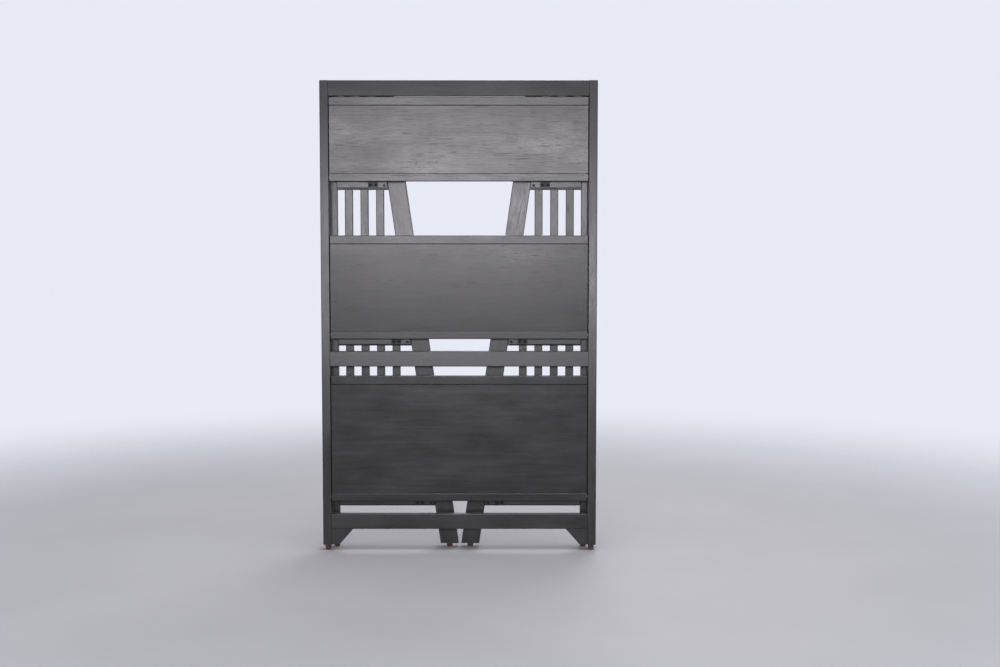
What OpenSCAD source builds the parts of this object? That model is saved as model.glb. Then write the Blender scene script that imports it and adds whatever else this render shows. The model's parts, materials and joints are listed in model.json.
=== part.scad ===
// Folding slatted bookcase, shown folded flat.
// A back frame carries two slatted side panels on butt hinges and three shelves on
// pivot pins. To open it, the side panels swing out to the front, and then the shelves
// fold down onto the cleats of the side panels.
// The wall side of the back frame faces -Y, and the bookcase opens towards +Y.

/* [Case] */
// Overall width across the two back stiles
case_w = 720; // [680:1:900]
// Overall height from the floor to the top rail
case_h = 1230; // [1200:1:1400]
// Width of a back stile, seen from behind
stile_w = 22.5; // [19:0.5:30]
// Depth of a back stile, front to back
stile_d = 45; // [45:1:60]
// Height of each back rail and of the side panels' top rails
rail_h = 40; // [32:1:48]
// Depth of the back rails
rail_d = 20; // [16:1:22]
// Height of the middle back rail's lower edge above the floor
middle_rail_z = 487.5; // [475:0.5:498]
// Height of the bottom back rail's lower edge above the floor
bottom_rail_z = 57; // [50:1:60]
// Radius of the eased long edges of every board
edge_r = 1.8; // [1:0.1:2.5]

/* [Foot brackets] */
// Width of a foot bracket where it meets the bottom rail
bracket_top_w = 57; // [40:1:80]
// Width of a foot bracket at its foot
bracket_foot_w = 20; // [12:1:30]
// Thickness of a foot bracket
bracket_t = 18; // [12:1:19]

/* [Side panels] */
// Thickness of a side panel's posts and rails
panel_t = 20; // [18:1:24]
// Gap left between a side panel and the stile it hinges on
hinge_gap = 1; // [0.8:0.1:1.5]
// Width of the upright rear post
rear_post_w = 17.5; // [16.5:0.5:24]
// Width of the slanted front post, measured level
front_post_w = 48; // [36:1:52]
// Distance of the front post's front edge from the centre plane at the floor
front_foot_x = 2.2; // [2:0.1:10]
// Distance of the front post's front edge from the centre plane at the top
front_top_x = 178; // [150:1:190]

/* [Slats] */
// Width of a slat
slat_w = 21; // [14:0.5:22]
// Thickness of a slat
slat_t = 16; // [12:0.5:18]
// Distance from one slat to the next, centre to centre
slat_pitch = 41.1; // [38:0.1:50]
// Gap between the rear post and the first slat
first_slat_gap = 19.1; // [18:0.1:24]

/* [Shelves] */
// Height of the cleat tops that carry the upper shelf
upper_level = 971; // [965:0.5:971.5]
// Height of the cleat tops that carry the middle shelf
middle_level = 560.5; // [555:0.5:570]
// Height of the cleat tops that carry the lower shelf
lower_level = 132; // [128:0.5:140]
// Depth of the upper shelf, back to front
upper_shelf_d = 218; // [190:0.5:218]
// Depth of the middle shelf, back to front
middle_shelf_d = 270.5; // [240:0.5:290]
// Depth of the lower shelf, back to front
lower_shelf_d = 331.5; // [300:0.5:335]
// Thickness of a shelf's edge strips
shelf_t = 20; // [18:0.5:21]
// Width of a shelf's front strip, which is at the top of a folded shelf
front_strip_w = 22.5; // [18:0.5:24]
// Width of a shelf's rear strip, which is at the bottom of a folded shelf
rear_strip_w = 20.5; // [18:0.5:24]
// Gap between a shelf's panel and each strip, where the tongue shows
panel_gap = 0.8; // [0.4:0.1:1.5]
// How far the shelf panel's two faces sit below its edge strips
panel_recess = 1; // [0.5:0.1:2]
// Gap between each end of a shelf and the stile
shelf_end_gap = 2; // [1.5:0.1:4]
// Distance from a shelf's rear edge to the middle of its pivot pins
pivot_in = 11; // [10:0.5:12]

/* [Cleats] */
// Height of a cleat
cleat_h = 17.5; // [17:0.5:22]
// How far the level rail behind a cleat reaches below it
rail_below = 4; // [2:0.5:5]
// How far a cleat stands out from the side panel
cleat_t = 18; // [14:0.5:20]
// Gap between a cleat and the rear post
cleat_end_gap = 2; // [1:0.5:4]
// Width of the catch keeper let into each cleat
keeper_w = 26; // [22:1:32]
// Distance from the front post's inner edge to the middle of the keeper
keeper_from_post = 36; // [30:0.5:46]

/* [Feet] */
// Height of the glides under the back frame
back_glide_h = 15; // [8:1:20]
// Height of the glides under the side panels
side_glide_h = 9; // [6:1:14]
// Diameter of a glide where it meets the wood
glide_d = 17; // [14:1:20]

/* [Hardware] */
// Diameter of a shelf's pivot pins
pivot_d = 6; // [4:0.5:8]
// Height of a side hinge's leaves
hinge_h = 50; // [40:1:64]
// Diameter of a side hinge's pin
hinge_pin_d = 3; // [2.5:0.1:3.4]
// Diameter of the round magnet let into a shelf's underside
magnet_d = 10; // [8:0.5:12]

/* [Hidden] */

$fn = 48;

WOOD = [0.29, 0.28, 0.30];
PANEL_WOOD = [0.33, 0.32, 0.34];
SLAT_WOOD = [0.31, 0.30, 0.33];
BLACK_STEEL = [0.08, 0.08, 0.09];
BARE_STEEL = [0.62, 0.62, 0.64];
GLIDE_BROWN = [0.30, 0.14, 0.12];

UPPER = 0;
MIDDLE = 1;
LOWER = 2;
LEVELS = [UPPER, MIDDLE, LOWER];
level_z = [upper_level, middle_level, lower_level];
level_rail_h = cleat_h + rail_below;
shelf_d = [upper_shelf_d, middle_shelf_d, lower_shelf_d];

// Places across the depth, from the wall side to the front
back_y = -(stile_d + hinge_gap + panel_t) / 2;
front_y = back_y + stile_d;
panel_y = front_y + hinge_gap;
panel_mid_y = panel_y + panel_t / 2;
cleat_y = panel_y - cleat_t;

// Side hinges: each axis stands off the inner front corner of a stile, and a side panel ends
// in line with it. An open panel's inner face is as far from the axis as a folded one's.
axis_x = case_w / 2 - stile_w + hinge_gap / 2;
axis_y = front_y + hinge_gap / 2;
open_face_x = axis_x + panel_y - axis_y;

// Places across the width, on the right-hand side
outer_x = case_w / 2;
inner_x = outer_x - stile_w;
panel_end_x = axis_x;
post_x = panel_end_x - rear_post_w;
first_slat_x = post_x - first_slat_gap - slat_w / 2;

// Joinery: the tongues of a shelf's panel stop short of its pivot pins
joint_l = 10;
joint_t = 8;
joint_shoulder = 3;
slat_joint_l = 8;
slat_joint_w = 12;
tongue_t = 6;
tongue_clear = 0.5;
tongue_l = rear_strip_w - pivot_in - pivot_d / 2 - tongue_clear;
fit = 0.05;

// Shelves: the pivot is half a shelf's thickness above the cleats, so an open shelf lies on them
shelf_gap = 0.2;
shelf_y = back_y + 1;
shelf_half_l = inner_x - shelf_end_gap;
pivot_y = shelf_y + shelf_t / 2;
pivot_in_shelf = 18;
pivot_in_stile = 14;
magnet_t = 3;

// Hinge hardware
hinge_z = [for (i = LEVELS) level_z[i] + shelf_d[i] / 2];
leaf_t = 1;
leaf_w = 16;
leaf_offset = 0.1;
knuckle_r = 3;
knuckle_count = 5;
knuckle_h = hinge_h / knuckle_count;
knuckle_gap = 0.1;
knuckle_room = 0.3;
hinge_screw_z = hinge_h * 0.3;
hinge_screw_in = 9.5;

// Screws
screw_r = 1.6;
screw_head_r = 3.2;
leaf_screw_l = 13;
cleat_screw_l = 31;
cleat_screw_in = 6.5;
cleat_screw_down = 10.5;
rail_screw_in = 14;
keeper_screw_l = 12;
keeper_screw_x = 7;
keeper_screw_down = 9.5;
recess_w = 0.7;
recess_l = 3.4;
recess_d = 1.2;

// Keeper: a plate on the cleat's face with a lip let into its top
keeper_t = 1.2;
keeper_h = 14.5;
lip_t = 2.5;
lip_d = 12;
lip_drop = 0.5;

// Glides
back_glide_x = outer_x - 12;
back_glide_y = back_y + 17;
stem_r = 2.5;
stem_l = 12;

// ---------- places that follow the slanted front post ----------

function front_x(z) = front_foot_x + (front_top_x - front_foot_x) * z / case_h;

function front_post_x(z) = front_x(z) + front_post_w;

front_slant = atan((front_top_x - front_foot_x) / case_h);

function keeper_x(level) = front_post_x(level_z[level]) + keeper_from_post;

function level_rail_z(level) = level_z[level] - level_rail_h;

function bay_top(level) =
    level == UPPER ? case_h - rail_h : level_rail_z(level - 1);

function slat_count(level) =
    1 + floor((first_slat_x - slat_w / 2 - joint_l - front_post_x(bay_top(level))) / slat_pitch);

function slat_x(i) = first_slat_x - i * slat_pitch;

// ---------- basic shapes ----------

// A box between two opposite corners
module block(low, high) {
    translate(low) cube(high - low);
}

// A board's cross-section between two opposite corners, its edges eased
module section(low, high) {
    r = edge_r;
    translate([low.x + r, low.y]) square([high.x - low.x - 2 * r, high.y - low.y]);
    translate([low.x, low.y + r]) square([high.x - low.x, high.y - low.y - 2 * r]);
    for (x = [low.x + r, high.x - r], y = [low.y + r, high.y - r])
        translate([x, y]) circle(r);
}

// A board between two opposite corners that stands upright
module upright_board(low, high) {
    translate([0, 0, low.z])
        linear_extrude(high.z - low.z) section([low.x, low.y], [high.x, high.y]);
}

// A board between two opposite corners that runs from left to right
module level_board(low, high) {
    translate([low.x, 0, 0])
        rotate([90, 0, 90])
            linear_extrude(high.x - low.x) section([low.y, low.z], [high.y, high.z]);
}

// An outline in X and Z, with its thickness along Y
module upright(outline, y, t) {
    translate([0, y + t, 0]) rotate([90, 0, 0]) linear_extrude(t) polygon(outline);
}

module on_left() {
    mirror([1, 0, 0]) children();
}

module on_both() {
    children();
    mirror([1, 0, 0]) children();
}

// The solid of a countersunk screw, head up at the origin, larger all round by room
module screw_shape(l, room) {
    cone = screw_head_r - screw_r;
    rotate_extrude()
        polygon([
            [0, 0],
            [screw_head_r + room, 0],
            [screw_r + room, -cone],
            [screw_r + room, -l - room],
            [0, -l - room]
        ]);
}

// A countersunk screw with a cross recess, head up at the origin
module screw(l) {
    difference() {
        screw_shape(l, 0);
        for (turn = [0, 90])
            rotate(turn) block([-recess_l / 2, -recess_w / 2, -recess_d], [recess_l / 2, recess_w / 2, 1]);
    }
}

// A glide with a flat foot, its stem driven up into the wood
module glide(h) {
    r = glide_d / 2;
    rotate_extrude()
        polygon([
            [0, 0],
            [r - 2.2, 0],
            [r - 1.4, 0.8],
            [r, h - 2],
            [r, h],
            [stem_r, h],
            [stem_r, h + stem_l],
            [0, h + stem_l]
        ]);
}

module stem_hole(h) {
    translate([0, 0, h - 1]) cylinder(r = stem_r + fit, h = stem_l + 1 + fit);
}

// ---------- back frame ----------

back_rail_z = [bottom_rail_z, middle_rail_z, case_h - rail_h];

module rail_tenon(z) {
    mid_y = back_y + rail_d / 2;
    block(
        [inner_x, mid_y - joint_t / 2, z + joint_shoulder],
        [inner_x + joint_l, mid_y + joint_t / 2, z + rail_h - joint_shoulder]
    );
}

module back_rail(z) {
    color(WOOD) {
        level_board([-inner_x, back_y, z], [inner_x, back_y + rail_d, z + rail_h]);
        on_both() rail_tenon(z);
    }
}

// Puts a screw on the frame's hinge leaf, head to the front
module on_frame_leaf(level) {
    for (up = [-1, 1])
        translate([axis_x + hinge_screw_in, axis_y - leaf_offset, hinge_z[level] + up * hinge_screw_z])
            rotate([-90, 0, 0]) children();
}

module hinge_bed(level) {
    translate([axis_x, axis_y, hinge_z[level] - hinge_h / 2 - 2])
        cylinder(r = knuckle_r + knuckle_room, h = hinge_h + 4);
}

module back_stile() {
    color(WOOD)
        difference() {
            upright_board([inner_x, back_y, back_glide_h], [outer_x, front_y, case_h]);
            for (z = back_rail_z) rail_tenon(z);
            for (level = LEVELS) {
                translate([inner_x - 1, pivot_y, pivot_z(level)])
                    rotate([0, 90, 0]) cylinder(d = pivot_d + 2 * fit, h = pivot_in_stile + 1.5);
                hinge_bed(level);
                block(
                    [axis_x - 1, axis_y - leaf_offset - leaf_t, hinge_z[level] - hinge_h / 2],
                    [axis_x + leaf_w + fit, front_y + 1, hinge_z[level] + hinge_h / 2]
                );
                on_frame_leaf(level) screw_shape(leaf_screw_l, fit);
            }
            translate([back_glide_x, back_glide_y, 0]) stem_hole(back_glide_h);
        }
}

module foot_bracket() {
    color(WOOD)
        upright(
            [
                [inner_x, bottom_rail_z],
                [inner_x - bracket_top_w, bottom_rail_z],
                [inner_x - bracket_foot_w, back_glide_h],
                [inner_x, back_glide_h]
            ],
            back_y + 2,
            bracket_t
        );
}

module back_stile_left() {
    on_left() back_stile();
}

module back_stile_right() {
    back_stile();
}

module back_rail_top() {
    back_rail(case_h - rail_h);
}

module back_rail_middle() {
    back_rail(middle_rail_z);
}

module back_rail_bottom() {
    back_rail(bottom_rail_z);
}

module foot_bracket_left() {
    on_left() foot_bracket();
}

module foot_bracket_right() {
    foot_bracket();
}

module back_glides() {
    color(GLIDE_BROWN)
        on_both() translate([back_glide_x, back_glide_y, 0]) glide(back_glide_h);
}

// ---------- side hinges ----------

// The knuckles of one leaf: every second one, counted from first
module knuckles(first, count) {
    for (k = [first:2:count - 1])
        translate([0, 0, k * knuckle_h - hinge_h / 2 + knuckle_gap])
            cylinder(r = knuckle_r, h = knuckle_h - 2 * knuckle_gap);
}

// Room beside the pin for the knuckles of the other leaf
module knuckle_cuts(first, count) {
    for (k = [first:2:count - 1])
        translate([0, 0, k * knuckle_h - hinge_h / 2 - knuckle_gap])
            cylinder(r = knuckle_r + knuckle_room, h = knuckle_h + 2 * knuckle_gap);
}

// A leaf that lies flat along +X from its pin, with the plate's outer face at -Y
module hinge_leaf(own, other, bore_d) {
    difference() {
        union() {
            difference() {
                block([0, -leaf_offset - leaf_t, -hinge_h / 2], [leaf_w, -leaf_offset, hinge_h / 2]);
                knuckle_cuts(other, knuckle_count);
            }
            knuckles(own, knuckle_count);
        }
        cylinder(d = bore_d, h = 2 * hinge_h, center = true);
        for (up = [-1, 1])
            translate([hinge_screw_in, -leaf_offset, up * hinge_screw_z])
                rotate([-90, 0, 0]) screw_shape(leaf_screw_l, fit);
    }
}

module at_hinge(level) {
    translate([axis_x, axis_y, hinge_z[level]]) children();
}

// Turns a leaf of the side panel from flat along +X to its folded place along +Y
module as_panel_leaf() {
    rotate(90) mirror([0, 1, 0]) children();
}

module hinge_pin() {
    l = hinge_h + 1;
    head_r = knuckle_r - 0.4;
    cylinder(d = hinge_pin_d, h = l, center = true);
    for (up = [-1, 1])
        scale([1, 1, up]) translate([0, 0, hinge_h / 2 + fit])
            rotate_extrude() polygon([[0, 0], [head_r, 0], [head_r, 0.7], [head_r - 0.9, 1.5], [0, 1.5]]);
}

module frame_hinge_leaves() {
    color(BLACK_STEEL)
        on_both()
            for (level = LEVELS)
                at_hinge(level) hinge_leaf(0, 1, hinge_pin_d + 2 * fit);
}

module frame_hinge_screws() {
    color(BLACK_STEEL)
        on_both()
            for (level = LEVELS)
                on_frame_leaf(level) screw(leaf_screw_l);
}

// ---------- side panel, modelled on the right and folded across the back ----------

// Puts a screw on the side panel's hinge leaf, head towards the stile
module on_panel_leaf(level) {
    at_hinge(level)
        as_panel_leaf()
            for (up = [-1, 1])
                translate([hinge_screw_in, -leaf_offset, up * hinge_screw_z])
                    rotate([-90, 0, 0]) children();
}

// A rail between the two posts; its front end follows the slant
module side_rail(z, h) {
    intersection() {
        level_board([front_post_x(z) - 1, panel_y, z], [post_x, panel_y + panel_t, z + h]);
        upright(
            [
                [front_post_x(z - 1), z - 1],
                [post_x + 1, z - 1],
                [post_x + 1, z + h + 1],
                [front_post_x(z + h + 1), z + h + 1]
            ],
            panel_y - 1,
            panel_t + 2
        );
    }
}

module side_rail_tenons(z, h) {
    low = z + joint_shoulder;
    high = z + h - joint_shoulder;
    y = panel_mid_y - joint_t / 2;
    block([post_x, y, low], [post_x + joint_l, y + joint_t, high]);
    upright(
        [
            [front_post_x(low) - joint_l, low],
            [front_post_x(low), low],
            [front_post_x(high), high],
            [front_post_x(high) - joint_l, high]
        ],
        y,
        joint_t
    );
}

module all_rail_tenons() {
    side_rail_tenons(case_h - rail_h, rail_h);
    for (level = LEVELS) side_rail_tenons(level_rail_z(level), level_rail_h);
}

// The stub tenons at both ends of a bay's slats
module slat_tenons(level) {
    for (i = [0:slat_count(level) - 1])
        block(
            [slat_x(i) - slat_joint_w / 2, panel_mid_y - joint_t / 2, level_z[level] - slat_joint_l],
            [slat_x(i) + slat_joint_w / 2, panel_mid_y + joint_t / 2, bay_top(level) + slat_joint_l]
        );
}

module slats(level) {
    color(SLAT_WOOD) {
        for (i = [0:slat_count(level) - 1])
            upright_board(
                [slat_x(i) - slat_w / 2, panel_mid_y - slat_t / 2, level_z[level]],
                [slat_x(i) + slat_w / 2, panel_mid_y + slat_t / 2, bay_top(level)]
            );
        slat_tenons(level);
    }
}

module rear_post() {
    color(WOOD)
        difference() {
            upright_board([post_x, panel_y, side_glide_h], [panel_end_x, panel_y + panel_t, case_h]);
            all_rail_tenons();
            for (level = LEVELS) {
                hinge_bed(level);
                at_hinge(level)
                    as_panel_leaf()
                        block(
                            [-1, -leaf_offset - leaf_t, -hinge_h / 2],
                            [leaf_w + fit, 1, hinge_h / 2]
                        );
                on_panel_leaf(level) screw_shape(leaf_screw_l, fit);
            }
            translate([(post_x + panel_end_x) / 2, panel_mid_y, 0]) stem_hole(side_glide_h);
        }
}

// The slanted post is a straight board, tilted and cut off level at both ends
module front_post() {
    color(WOOD)
        difference() {
            intersection() {
                translate([front_foot_x, 0, 0])
                    rotate([0, front_slant, 0])
                        upright_board(
                            [0, panel_y, -panel_t],
                            [front_post_w * cos(front_slant), panel_y + panel_t, case_h + 2 * panel_t]
                        );
                block([-outer_x, front_y, side_glide_h], [outer_x, front_y + 2 * panel_t, case_h]);
            }
            all_rail_tenons();
            translate([front_x(side_glide_h) + front_post_w / 2, panel_mid_y, 0]) stem_hole(side_glide_h);
        }
}

module top_rail() {
    color(WOOD) {
        difference() {
            side_rail(case_h - rail_h, rail_h);
            slat_tenons(UPPER);
        }
        side_rail_tenons(case_h - rail_h, rail_h);
    }
}

// Puts one screw through a cleat near its front end, and one through the rail near its rear end
module on_cleat_ends(level) {
    z = level_z[level] - cleat_screw_down;
    translate([front_post_x(level_z[level]) + cleat_screw_in, cleat_y, z])
        rotate([90, 0, 0]) children();
    translate([post_x - rail_screw_in, panel_y + panel_t, z])
        rotate([-90, 0, 0]) children();
}

// Puts screws through the keeper's plate, heads on its outer face
module on_keeper(level) {
    for (side = [-1, 1])
        translate([
            keeper_x(level) + side * keeper_screw_x,
            cleat_y - keeper_t,
            level_z[level] - keeper_screw_down
        ])
            rotate([90, 0, 0]) children();
}

module level_rail(level) {
    color(WOOD)
        difference() {
            union() {
                side_rail(level_rail_z(level), level_rail_h);
                side_rail_tenons(level_rail_z(level), level_rail_h);
            }
            slat_tenons(level);
            if (level < LOWER) slat_tenons(level + 1);
            on_cleat_ends(level) screw_shape(cleat_screw_l, fit);
        }
}

module keeper_lip(level, room) {
    block(
        [keeper_x(level) - keeper_w / 2 - room, cleat_y - keeper_t, level_z[level] - lip_drop - lip_t - room],
        [keeper_x(level) + keeper_w / 2 + room, cleat_y + lip_d + room, level_z[level] - lip_drop]
    );
}

module cleat(level) {
    color(WOOD)
        difference() {
            level_board(
                [front_post_x(level_z[level]), cleat_y, level_z[level] - cleat_h],
                [post_x - cleat_end_gap, panel_y, level_z[level]]
            );
            keeper_lip(level, fit);
            translate([0, 0, 1]) keeper_lip(level, fit);
            on_cleat_ends(level) screw_shape(cleat_screw_l, fit);
            on_keeper(level) screw_shape(keeper_screw_l, fit);
        }
}

module keepers() {
    color(BLACK_STEEL)
        for (level = LEVELS)
            difference() {
                union() {
                    keeper_lip(level, 0);
                    block(
                        [keeper_x(level) - keeper_w / 2, cleat_y - keeper_t, level_z[level] - keeper_h],
                        [keeper_x(level) + keeper_w / 2, cleat_y, level_z[level] - lip_drop]
                    );
                }
                on_keeper(level) screw_shape(keeper_screw_l, fit);
            }
}

// Every screw of one side panel: two in each cleat, two in each keeper, two in each leaf
module panel_screws() {
    color(BLACK_STEEL)
        for (level = LEVELS) {
            on_cleat_ends(level) screw(cleat_screw_l);
            on_keeper(level) screw(keeper_screw_l);
            on_panel_leaf(level) screw(leaf_screw_l);
        }
}

module panel_hinge_leaves() {
    color(BLACK_STEEL)
        for (level = LEVELS)
            at_hinge(level) as_panel_leaf() hinge_leaf(1, 0, hinge_pin_d);
}

module panel_hinge_pins() {
    color(BARE_STEEL)
        for (level = LEVELS)
            at_hinge(level) hinge_pin();
}

module panel_glides() {
    color(GLIDE_BROWN) {
        translate([(post_x + panel_end_x) / 2, panel_mid_y, 0]) glide(side_glide_h);
        translate([front_x(side_glide_h) + front_post_w / 2, panel_mid_y, 0]) glide(side_glide_h);
    }
}

module left_rear_post() on_left() rear_post();
module left_front_post() on_left() front_post();
module left_top_rail() on_left() top_rail();
module left_level_rail_upper() on_left() level_rail(UPPER);
module left_level_rail_middle() on_left() level_rail(MIDDLE);
module left_level_rail_lower() on_left() level_rail(LOWER);
module left_cleat_upper() on_left() cleat(UPPER);
module left_cleat_middle() on_left() cleat(MIDDLE);
module left_cleat_lower() on_left() cleat(LOWER);
module left_slats_upper() on_left() slats(UPPER);
module left_slats_middle() on_left() slats(MIDDLE);
module left_slats_lower() on_left() slats(LOWER);
module left_keepers() on_left() keepers();
module left_screws() on_left() panel_screws();
module left_hinge_leaves() on_left() panel_hinge_leaves();
module left_hinge_pins() on_left() panel_hinge_pins();
module left_glides() on_left() panel_glides();

module right_rear_post() rear_post();
module right_front_post() front_post();
module right_top_rail() top_rail();
module right_level_rail_upper() level_rail(UPPER);
module right_level_rail_middle() level_rail(MIDDLE);
module right_level_rail_lower() level_rail(LOWER);
module right_cleat_upper() cleat(UPPER);
module right_cleat_middle() cleat(MIDDLE);
module right_cleat_lower() cleat(LOWER);
module right_slats_upper() slats(UPPER);
module right_slats_middle() slats(MIDDLE);
module right_slats_lower() slats(LOWER);
module right_keepers() keepers();
module right_screws() panel_screws();
module right_hinge_leaves() panel_hinge_leaves();
module right_hinge_pins() panel_hinge_pins();
module right_glides() panel_glides();

// ---------- shelves, folded up between the stiles ----------

function pivot_z(level) = level_z[level] + shelf_gap + shelf_t / 2;

function shelf_z(level) = pivot_z(level) - pivot_in;

module shelf_tongue(level) {
    z = shelf_z(level);
    block(
        [-shelf_half_l, pivot_y - tongue_t / 2, z + rear_strip_w - tongue_l],
        [shelf_half_l, pivot_y + tongue_t / 2, z + shelf_d[level] - front_strip_w + tongue_l]
    );
}

module on_pivots(level) {
    for (side = [-1, 1])
        translate([side * (shelf_half_l - pivot_in_shelf), pivot_y, pivot_z(level)])
            rotate([0, side * 90, 0]) children();
}

// The magnets lie over the keepers when the side panels and the shelf are open
module on_magnets(level) {
    open_y = axis_y + axis_x - keeper_x(level);
    z = pivot_z(level) + open_y - pivot_y;
    for (side = [-1, 1])
        translate([side * (open_face_x - cleat_t / 2), shelf_y + shelf_t - panel_recess, z])
            rotate([90, 0, 0]) children();
}

module shelf_panel(level) {
    low = shelf_z(level) + rear_strip_w + panel_gap;
    high = shelf_z(level) + shelf_d[level] - front_strip_w - panel_gap;
    color(PANEL_WOOD)
        difference() {
            union() {
                block(
                    [-shelf_half_l, shelf_y + panel_recess, low],
                    [shelf_half_l, shelf_y + shelf_t - panel_recess, high]
                );
                shelf_tongue(level);
            }
            on_magnets(level) translate([0, 0, -1]) cylinder(d = magnet_d + 2 * fit, h = magnet_t + 1 + fit);
        }
}

module shelf_front_strip(level) {
    z = shelf_z(level) + shelf_d[level];
    color(WOOD)
        difference() {
            level_board([-shelf_half_l, shelf_y, z - front_strip_w], [shelf_half_l, shelf_y + shelf_t, z]);
            shelf_tongue(level);
        }
}

module shelf_rear_strip(level) {
    z = shelf_z(level);
    color(WOOD)
        difference() {
            level_board([-shelf_half_l, shelf_y, z], [shelf_half_l, shelf_y + shelf_t, z + rear_strip_w]);
            shelf_tongue(level);
            on_pivots(level) cylinder(d = pivot_d, h = pivot_in_shelf + 1);
        }
}

module shelf_pins(level) {
    color(BARE_STEEL)
        on_pivots(level) cylinder(d = pivot_d, h = pivot_in_shelf + shelf_end_gap + pivot_in_stile);
}

module shelf_magnets(level) {
    color(BARE_STEEL)
        on_magnets(level) cylinder(d = magnet_d, h = magnet_t);
}

module upper_shelf_panel() shelf_panel(UPPER);
module upper_shelf_front_strip() shelf_front_strip(UPPER);
module upper_shelf_rear_strip() shelf_rear_strip(UPPER);
module upper_shelf_pins() shelf_pins(UPPER);
module upper_shelf_magnets() shelf_magnets(UPPER);

module middle_shelf_panel() shelf_panel(MIDDLE);
module middle_shelf_front_strip() shelf_front_strip(MIDDLE);
module middle_shelf_rear_strip() shelf_rear_strip(MIDDLE);
module middle_shelf_pins() shelf_pins(MIDDLE);
module middle_shelf_magnets() shelf_magnets(MIDDLE);

module lower_shelf_panel() shelf_panel(LOWER);
module lower_shelf_front_strip() shelf_front_strip(LOWER);
module lower_shelf_rear_strip() shelf_rear_strip(LOWER);
module lower_shelf_pins() shelf_pins(LOWER);
module lower_shelf_magnets() shelf_magnets(LOWER);

back_stile_left();
back_stile_right();
back_rail_top();
back_rail_middle();
back_rail_bottom();
foot_bracket_left();
foot_bracket_right();
back_glides();
frame_hinge_leaves();
frame_hinge_screws();
left_rear_post();
left_front_post();
left_top_rail();
left_level_rail_upper();
left_level_rail_middle();
left_level_rail_lower();
left_cleat_upper();
left_cleat_middle();
left_cleat_lower();
left_slats_upper();
left_slats_middle();
left_slats_lower();
left_keepers();
left_screws();
left_hinge_leaves();
left_hinge_pins();
left_glides();
right_rear_post();
right_front_post();
right_top_rail();
right_level_rail_upper();
right_level_rail_middle();
right_level_rail_lower();
right_cleat_upper();
right_cleat_middle();
right_cleat_lower();
right_slats_upper();
right_slats_middle();
right_slats_lower();
right_keepers();
right_screws();
right_hinge_leaves();
right_hinge_pins();
right_glides();
upper_shelf_panel();
upper_shelf_front_strip();
upper_shelf_rear_strip();
upper_shelf_pins();
upper_shelf_magnets();
middle_shelf_panel();
middle_shelf_front_strip();
middle_shelf_rear_strip();
middle_shelf_pins();
middle_shelf_magnets();
lower_shelf_panel();
lower_shelf_front_strip();
lower_shelf_rear_strip();
lower_shelf_pins();
lower_shelf_magnets();
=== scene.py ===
"""Folding slatted bookcase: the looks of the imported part, its camera and its studio.

Every board keeps its CAD shape. Stain, grain, pores and wear are procedural materials, laid
along each board in the frame's metres.
"""

import json
import math
import random

import bpy
from mathutils import Euler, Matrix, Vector


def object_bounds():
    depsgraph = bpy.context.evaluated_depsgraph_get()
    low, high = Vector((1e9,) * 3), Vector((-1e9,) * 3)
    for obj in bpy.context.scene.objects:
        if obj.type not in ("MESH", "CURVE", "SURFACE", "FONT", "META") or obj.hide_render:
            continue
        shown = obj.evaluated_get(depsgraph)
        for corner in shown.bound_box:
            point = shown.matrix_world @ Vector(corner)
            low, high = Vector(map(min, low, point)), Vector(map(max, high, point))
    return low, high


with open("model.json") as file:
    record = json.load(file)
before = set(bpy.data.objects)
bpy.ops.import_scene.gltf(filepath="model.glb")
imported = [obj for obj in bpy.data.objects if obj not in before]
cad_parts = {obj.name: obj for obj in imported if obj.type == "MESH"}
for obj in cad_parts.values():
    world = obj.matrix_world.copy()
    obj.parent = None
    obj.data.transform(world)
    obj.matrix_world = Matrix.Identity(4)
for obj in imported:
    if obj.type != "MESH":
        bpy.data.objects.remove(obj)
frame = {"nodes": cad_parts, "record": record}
cad_low, cad_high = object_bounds()

SEED = 7


# ---------- node helpers ----------


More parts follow.
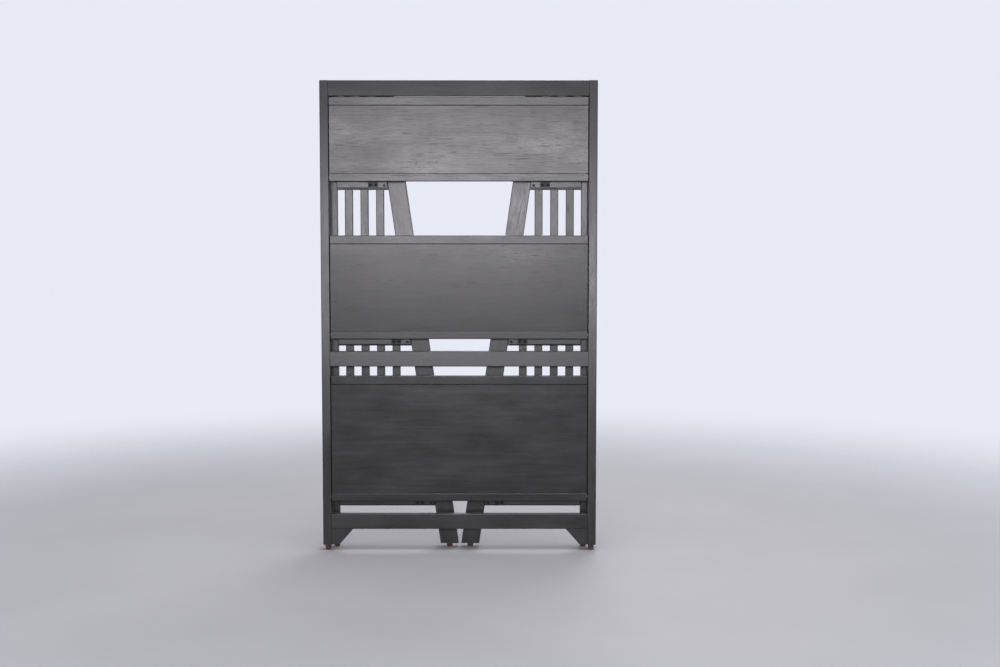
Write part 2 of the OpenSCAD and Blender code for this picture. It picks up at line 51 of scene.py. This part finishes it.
class Graph:
    """A material's node tree with short calls for the nodes that the materials share."""

    def __init__(self, name):
        self.material = bpy.data.materials.new(name)
        self.material.use_nodes = True
        self.tree = self.material.node_tree
        self.tree.nodes.clear()
        self.shader = self.tree.nodes.new("ShaderNodeBsdfPrincipled")
        output = self.tree.nodes.new("ShaderNodeOutputMaterial")
        self.link(self.shader.outputs["BSDF"], output.inputs["Surface"])

    def link(self, source, target):
        self.tree.links.new(source, target)

    def put(self, socket, value):
        """Sets a socket to a number or colour, or links it to another node's output."""
        if isinstance(value, bpy.types.NodeSocket):
            self.link(value, socket)
        else:
            socket.default_value = value

    def dress(self, colour, rough, normal):
        """Links the surface's colour, roughness and normal."""
        self.link(colour, self.shader.inputs["Base Color"])
        self.link(rough, self.shader.inputs["Roughness"])
        self.link(normal, self.shader.inputs["Normal"])

    def place(self):
        """The point on the piece, in metres in the frame, which rides with its body."""
        return self.tree.nodes.new("ShaderNodeTexCoord").outputs["Object"]

    def mapped(self, vector, move=(0, 0, 0), turn=(0, 0, 0), scale=(1, 1, 1)):
        node = self.tree.nodes.new("ShaderNodeMapping")
        self.link(vector, node.inputs["Vector"])
        node.inputs["Location"].default_value = move
        node.inputs["Rotation"].default_value = turn
        node.inputs["Scale"].default_value = scale
        return node.outputs["Vector"]

    def noise(self, vector, scale=1.0, detail=2.0, rough=0.5):
        node = self.tree.nodes.new("ShaderNodeTexNoise")
        self.link(vector, node.inputs["Vector"])
        node.inputs["Scale"].default_value = scale
        node.inputs["Detail"].default_value = detail
        node.inputs["Roughness"].default_value = rough
        return node.outputs["Fac"]

    def math(self, operation, a, b=0.0):
        node = self.tree.nodes.new("ShaderNodeMath")
        node.operation = operation
        self.put(node.inputs[0], a)
        self.put(node.inputs[1], b)
        return node.outputs[0]

    def total(self, *terms):
        """The sum of (value, weight) pairs, added from the first to the last."""
        parts = [self.math("MULTIPLY", value, weight) for value, weight in terms]
        result = parts[0]
        for part in parts[1:]:
            result = self.math("ADD", result, part)
        return result

    def hypotenuse(self, a, b):
        squares = self.math("ADD", self.math("POWER", a, 2.0), self.math("POWER", b, 2.0))
        return self.math("SQRT", squares)

    def range(self, value, low, high, to_low=0.0, to_high=1.0, smooth=True):
        node = self.tree.nodes.new("ShaderNodeMapRange")
        node.interpolation_type = "SMOOTHSTEP" if smooth else "LINEAR"
        self.link(value, node.inputs["Value"])
        node.inputs["From Min"].default_value = low
        node.inputs["From Max"].default_value = high
        node.inputs["To Min"].default_value = to_low
        node.inputs["To Max"].default_value = to_high
        return node.outputs["Result"]

    def split(self, vector):
        node = self.tree.nodes.new("ShaderNodeSeparateXYZ")
        self.link(vector, node.inputs[0])
        return node.outputs

    def mix(self, share, a, b):
        node = self.tree.nodes.new("ShaderNodeMix")
        node.data_type = "RGBA"
        self.put(node.inputs["Factor"], share)
        self.put(node.inputs["A"], a)
        self.put(node.inputs["B"], b)
        return node.outputs["Result"]

    def ramp(self, value, stops):
        node = self.tree.nodes.new("ShaderNodeValToRGB")
        self.link(value, node.inputs["Fac"])
        elements = node.color_ramp.elements
        while len(elements) < len(stops):
            elements.new(0.5)
        for element, (position, colour) in zip(elements, stops):
            element.position = position
            element.color = (*colour, 1.0)
        return node.outputs["Color"]

    def bump(self, height, distance, strength, normal=None):
        node = self.tree.nodes.new("ShaderNodeBump")
        self.link(height, node.inputs["Height"])
        node.inputs["Distance"].default_value = distance
        node.inputs["Strength"].default_value = strength
        if normal is not None:
            self.link(normal, node.inputs["Normal"])
        return node.outputs["Normal"]


def draw_shift(rng, reach):
    """A random move of a noise, so that no two pieces show the same part of it."""
    return [rng.uniform(-reach, reach) for _ in range(3)]


# ---------- wood ----------

# The darkest, middle and palest stain, and what shows where an edge is rubbed through
DARK_STAIN = (0.0080, 0.0076, 0.0088)
MID_STAIN = (0.0165, 0.0158, 0.0178)
PALE_STAIN = (0.0290, 0.0275, 0.0300)
WORN_WOOD = (0.085, 0.056, 0.044, 1.0)

# The lacquer's roughness where nothing adds to it, and the least that it may come to
LACQUER_ROUGH = 0.150
LEAST_ROUGH = 0.272

# How far in from an edge the rubbing is full, and where it ends, in metres
RUBBED_FULL, RUBBED_END = 0.0005, 0.0022

# Growth rings in a metre, how many rings the wander moves them, and how they close lengthwise
RINGS_A_METRE = 130.0
RING_WANDER = 7.0
RING_TAPER = 0.02

# The height of the open grain, in metres, and how much of it the shading takes
GRAIN_HEIGHT, GRAIN_STRENGTH = 0.00012, 0.35


def turned_box(obj, turn):
    """The box of a mesh after the turn that lays its grain along X."""
    matrix = Euler(turn).to_matrix()
    points = [matrix @ v.co for v in obj.data.vertices]
    low = [min(p[k] for p in points) for k in range(3)]
    high = [max(p[k] for p in points) for k in range(3)]
    return low, high


def growth_rings(g, along, wander, rng):
    """Long ovals about a pith near the face, as a flat-sawn board shows: 1 in the late wood."""
    pith = (rng.uniform(-0.5, 0.5), rng.uniform(0.04, 0.10), rng.uniform(-0.06, 0.06))
    x, y, z = g.split(g.mapped(along, move=pith))
    taper = g.math("MULTIPLY", g.math("ABSOLUTE", x), RING_TAPER)
    reach = g.math("ADD", g.hypotenuse(y, z), taper)
    count = g.total((reach, RINGS_A_METRE), (wander, RING_WANDER))
    return g.range(g.math("FRACT", count), 0.45, 0.95)


def edge_wear(g, along, shift, low, high):
    """1 on the long edges of a board where the stain is rubbed thin, in patches."""
    _, y, z = g.split(along)
    gaps = []
    for value, k in ((y, 1), (z, 2)):
        below = g.math("SUBTRACT", value, low[k])
        above = g.math("SUBTRACT", high[k], value)
        gaps.append(g.math("MINIMUM", below, above))
    edge = g.range(g.math("MAXIMUM", *gaps), RUBBED_FULL, RUBBED_END, 1.0, 0.0)
    rub = g.noise(g.mapped(along, move=shift, scale=(10, 45, 45)), detail=4.0, rough=0.7)
    return g.math("MULTIPLY", edge, g.range(rub, 0.50, 0.70))


def wood(name, obj, turn, rng, tone, lean):
    """Charcoal-stained wood under satin lacquer.

    turn lays the board's grain along X, tone scales its stain, and lean is how far its faces
    tip up, as a slope.
    """
    g = Graph(name)
    point = g.place()
    along = g.mapped(point, turn=turn)
    shift = draw_shift(rng, 4)

    def grain(scale, detail, rough):
        return g.noise(g.mapped(along, move=shift, scale=scale), detail=detail, rough=rough)

    # From wide soft clouds to single pores, all drawn out along the board
    cloud = grain((6, 14, 14), 4.0, 0.62)
    streak = grain((5.5, 85, 85), 4.0, 0.62)
    fibre = grain((11, 520, 520), 3.0, 0.6)
    pores = g.range(grain((110, 1700, 1700), 1.0, 0.4), 0.58, 0.72)
    dash = g.range(grain((24, 400, 400), 2.5, 0.55), 0.59, 0.72)
    rings = growth_rings(g, along, cloud, rng)

    # How pale the stain came out
    pale = g.total(
        (streak, 0.42), (cloud, 0.44), (fibre, 0.14), (rings, -0.05), (pores, -0.07), (dash, -0.12)
    )
    pale = g.range(pale, 0.34, 0.64, smooth=False)
    stops = zip((0.0, 0.5, 1.0), (DARK_STAIN, MID_STAIN, PALE_STAIN))
    stain = g.ramp(pale, [(at, [c * tone for c in colour]) for at, colour in stops])
    worn = edge_wear(g, along, shift, *turned_box(obj, turn))
    colour = g.mix(g.math("MULTIPLY", worn, 0.30), stain, WORN_WOOD)

    # The lacquer sinks into pores and streaks, and is thinner where it is worn
    rough = g.total(
        (cloud, 0.21), (streak, 0.06), (dash, 0.09), (fibre, 0.04), (pores, 0.05), (rings, 0.02),
        (worn, 0.10),
    )
    rough = g.math("MAXIMUM", g.math("ADD", rough, LACQUER_ROUGH), LEAST_ROUGH)

    height = g.total((fibre, 0.25), (streak, 0.30), (pores, -0.30), (dash, -0.08))
    tipped = g.bump(g.math("MULTIPLY", g.split(point)[2], -lean), 1.0, 1.0)
    g.dress(colour, rough, g.bump(height, GRAIN_HEIGHT, GRAIN_STRENGTH, tipped))
    return g.material


# ---------- metal and plastic ----------


def keeper_steel(name, rng):
    """Dark blackened plate, worn to a soft sheen."""
    g = Graph(name)
    point = g.mapped(g.place(), move=draw_shift(rng, 3))
    cloud = g.noise(point, scale=110.0, detail=4.0, rough=0.65)
    scratch = g.noise(g.mapped(point, scale=(60, 60, 1500)))
    paint = g.ramp(cloud, [(0.3, (0.006, 0.006, 0.007)), (0.75, (0.016, 0.016, 0.018))])
    g.shader.inputs["Specular IOR Level"].default_value = 0.35
    g.dress(paint, g.range(cloud, 0.3, 0.7, 0.42, 0.54), g.bump(scratch, 0.00004, 0.4))
    return g.material


def black_steel(name, rng):
    """Black painted steel, a little uneven and dusty."""
    g = Graph(name)
    point = g.mapped(g.place(), move=draw_shift(rng, 3))
    speck = g.noise(point, scale=900.0)
    cloud = g.noise(point, scale=60.0, detail=3.0)
    paint = g.ramp(cloud, [(0.3, (0.003, 0.003, 0.004)), (0.75, (0.009, 0.009, 0.010))])
    g.shader.inputs["Specular IOR Level"].default_value = 0.18
    g.dress(paint, g.range(cloud, 0.3, 0.7, 0.54, 0.70), g.bump(speck, 0.00008, 0.4))
    return g.material


def bare_steel(name, rng):
    """Zinc-plated steel, dulled with age and slightly clouded."""
    g = Graph(name)
    shift = draw_shift(rng, 3)
    point = g.place()
    brushed = g.noise(g.mapped(point, move=shift, scale=(900, 900, 60)), detail=3.0)
    cloud = g.noise(g.mapped(point, move=shift), scale=120.0, detail=3.0)
    zinc = g.ramp(cloud, [(0.25, (0.20, 0.20, 0.21)), (0.8, (0.36, 0.36, 0.37))])
    g.shader.inputs["Metallic"].default_value = 1.0
    g.dress(zinc, g.range(brushed, 0.3, 0.7, 0.36, 0.54), g.bump(brushed, 0.00004, 0.4))
    return g.material


SCUFFED_PLASTIC = (0.26, 0.20, 0.18, 1.0)
SCUFF_REACH = 0.008


def glide_plastic(name, rng):
    """Reddish brown moulded glides, scuffed and paler towards the floor."""
    g = Graph(name)
    shift = draw_shift(rng, 3)
    point = g.place()
    cloud = g.noise(g.mapped(point, move=shift), scale=160.0, detail=3.0)
    scuff = g.noise(g.mapped(point, move=shift, scale=(500, 500, 120)), detail=4.0, rough=0.7)
    brown = g.ramp(cloud, [(0.25, (0.060, 0.020, 0.016)), (0.8, (0.115, 0.040, 0.032))])
    near_floor = g.range(g.split(point)[2], 0.0, SCUFF_REACH, 1.0, 0.0)
    low = g.math("MULTIPLY", near_floor, g.range(scuff, 0.45, 0.65))
    colour = g.mix(g.math("MULTIPLY", low, 0.5), brown, SCUFFED_PLASTIC)
    g.dress(colour, g.range(scuff, 0.3, 0.7, 0.36, 0.60), g.bump(scuff, 0.00010, 0.4))
    return g.material


# ---------- giving each CAD node its material ----------

LEVEL_BOARDS = ("back_rail", "top_rail", "level_rail", "cleat", "shelf_panel", "strip")

# How far a folded slanted post's inner edge is from the bookcase's middle, at the floor and
# at the top, and the post's height, in metres
POST_FOOT_X = 0.0022
POST_TOP_X = 0.178
POST_HEIGHT = 1.230
SLANT = math.atan((POST_TOP_X - POST_FOOT_X) / POST_HEIGHT)

# How far the faces of each group of pieces tip up, as a slope. The first word that is in the
# node's name counts.
LEANS = (
    ("back_", 0.052),
    ("foot_", 0.052),
    ("upper_shelf", -0.012),
    ("middle_shelf_rear", 0.016),
    ("lower_shelf_front", 0.010),
    ("_shelf", 0.0),
)
SIDE_LEAN = 0.027


def grain_turn(node):
    """The turn that lays a board's grain along X."""
    if any(word in node for word in LEVEL_BOARDS):
        return (0.0, 0.0, 0.0)
    if node.endswith("front_post"):
        lean = SLANT if node.startswith("right") else -SLANT
        return (0.0, math.pi / 2 - lean, 0.0)
    return (0.0, math.pi / 2, 0.0)


def lean_of(node):
    """Loose boards and panels never lie quite in one plane, and catch the light apart."""
    return next((lean for word, lean in LEANS if word in node), SIDE_LEAN)


def paint_all():
    slots = {s["node"]: s["material_slot"] for s in frame["record"]["subparts"]}
    for node, obj in sorted(frame["nodes"].items()):
        rng = random.Random(f"{SEED} {node}")
        slot = slots[node]
        if slot in ("frame_wood", "shelf_panel_wood"):
            tone = rng.uniform(0.88, 1.12)
            material = wood(f"{node}_wood", obj, grain_turn(node), rng, tone, lean_of(node))
        elif slot == "black_steel":
            finish = keeper_steel if "keepers" in node else black_steel
            material = finish(f"{node}_steel", rng)
        elif slot == "bare_steel":
            material = bare_steel(f"{node}_zinc", rng)
        else:
            material = glide_plastic(f"{node}_plastic", rng)
        obj.data.materials.clear()
        obj.data.materials.append(material)


# ---------- studio ----------

# The floor's radius, where it starts to fade and where it is gone, in metres
FLOOR_RADIUS = 3.2
FADE_START = FLOOR_RADIUS - 2.2
FADE_END = FLOOR_RADIUS - 0.02

# The pale room as the camera sees it, and the light that it gives
ROOM_COLOUR = (0.83, 0.85, 0.95, 1.0)
ROOM_STRENGTH = 0.97
GLOW_COLOUR = (0.84, 0.84, 0.92, 1.0)

# The room's light from the camera's side, and from the other side and both ends. It changes
# between these two sines of the direction.
GLOW_NEAR, GLOW_FAR = 0.22, 0.90
GLOW_START, GLOW_FULL = 0.30, 0.70

KEY_TINT = (1.0, 0.975, 1.03)

# Millimetres for the lens and sensor, degrees for the tilt, metres for the rest
LENS, SENSOR = 50.4, 36.0
TILT_DOWN = 4.09
CAMERA_X, CAMERA_AWAY, CAMERA_HEIGHT = 0.107, 3.650, 0.8355


def area_light(name, place, aim, width, height, power, colour=(1.0, 1.0, 1.0)):
    data = bpy.data.lights.new(name, "AREA")
    data.shape = "RECTANGLE"
    data.size, data.size_y = width, height
    data.energy = power
    data.color = colour
    obj = bpy.data.objects.new(name, data)
    obj.location = place
    obj.rotation_euler = (Vector(aim) - Vector(place)).to_track_quat("-Z", "Y").to_euler()
    bpy.context.scene.collection.objects.link(obj)
    return obj


def make_floor():
    """A round pale floor that fades out at its rim, so that it has no hard edge in any view."""
    bpy.ops.mesh.primitive_circle_add(vertices=96, radius=FLOOR_RADIUS, fill_type="NGON")
    floor = bpy.context.object
    floor.name = "studio_floor"
    g = Graph("floor_paint")
    point = g.place()
    x, y, _ = g.split(point)
    reach = g.hypotenuse(x, y)
    cloud = g.noise(point, scale=3.0, detail=3.0)
    paint = g.ramp(cloud, [(0.2, (0.31, 0.31, 0.325)), (0.8, (0.335, 0.335, 0.35))])
    g.link(paint, g.shader.inputs["Base Color"])
    g.shader.inputs["Roughness"].default_value = 0.75
    g.link(g.range(reach, FADE_START, FADE_END, 1.0, 0.0), g.shader.inputs["Alpha"])
    floor.data.materials.append(g.material)


def make_world():
    """A pale room: one even wall to the camera, and a light that is weaker from its side."""
    world = bpy.data.worlds.new("pale_room")
    bpy.context.scene.world = world
    world.use_nodes = True
    nodes, link = world.node_tree.nodes, world.node_tree.links.new
    nodes.clear()
    wall = nodes.new("ShaderNodeBackground")
    wall.inputs["Color"].default_value = ROOM_COLOUR
    wall.inputs["Strength"].default_value = ROOM_STRENGTH
    glow = nodes.new("ShaderNodeBackground")
    glow.inputs["Color"].default_value = GLOW_COLOUR

    # Y is away from the camera's side, and X is towards the ends
    toward = nodes.new("ShaderNodeSeparateXYZ")
    link(nodes.new("ShaderNodeTexCoord").outputs["Generated"], toward.inputs[0])
    sideways = nodes.new("ShaderNodeMath")
    sideways.operation = "ABSOLUTE"
    link(toward.outputs["X"], sideways.inputs[0])
    off_axis = nodes.new("ShaderNodeMath")
    off_axis.operation = "MAXIMUM"
    link(sideways.outputs[0], off_axis.inputs[0])
    link(toward.outputs["Y"], off_axis.inputs[1])
    share = nodes.new("ShaderNodeMapRange")
    link(off_axis.outputs[0], share.inputs["Value"])
    share.inputs["From Min"].default_value = GLOW_START
    share.inputs["From Max"].default_value = GLOW_FULL
    share.inputs["To Min"].default_value = GLOW_NEAR
    share.inputs["To Max"].default_value = GLOW_FAR
    link(share.outputs["Result"], glow.inputs["Strength"])

    mix = nodes.new("ShaderNodeMixShader")
    output = nodes.new("ShaderNodeOutputWorld")
    link(nodes.new("ShaderNodeLightPath").outputs["Is Camera Ray"], mix.inputs["Fac"])
    link(glow.outputs[0], mix.inputs[1])
    link(wall.outputs[0], mix.inputs[2])
    link(mix.outputs[0], output.inputs["Surface"])


def make_lights():
    """A low wide key whose gloss falls on the upper boards, a lamp overhead and one behind."""
    area_light("key", (-0.11, -3.68, 1.1), (0.0, 0.0, 1.0), 1.9, 0.5, 64.0, KEY_TINT)
    area_light("top", (0.2, -0.3, 3.2), (0.0, 0.0, 0.0), 1.8, 1.8, 75.0)
    fill = area_light("fill", (1.0, 3.4, 3.5), (0.0, 0.0, 0.6), 2.0, 1.4, 80.0)
    fill.visible_camera = False


def make_camera():
    """A 50 mm lens a little above the middle of the bookcase, tipped down slightly."""
    data = bpy.data.cameras.new("camera")
    data.lens = LENS
    data.sensor_width = SENSOR
    data.clip_start, data.clip_end = 0.1, 50.0
    camera = bpy.data.objects.new("camera", data)
    camera.location = (CAMERA_X, cad_low.y - CAMERA_AWAY, CAMERA_HEIGHT)
    camera.rotation_euler = Euler((math.radians(90 - TILT_DOWN), 0.0, 0.0))
    bpy.context.scene.collection.objects.link(camera)
    bpy.context.scene.camera = camera


bpy.context.scene.view_settings.view_transform = "Standard"
paint_all()
make_floor()
make_world()
make_lights()
make_camera()
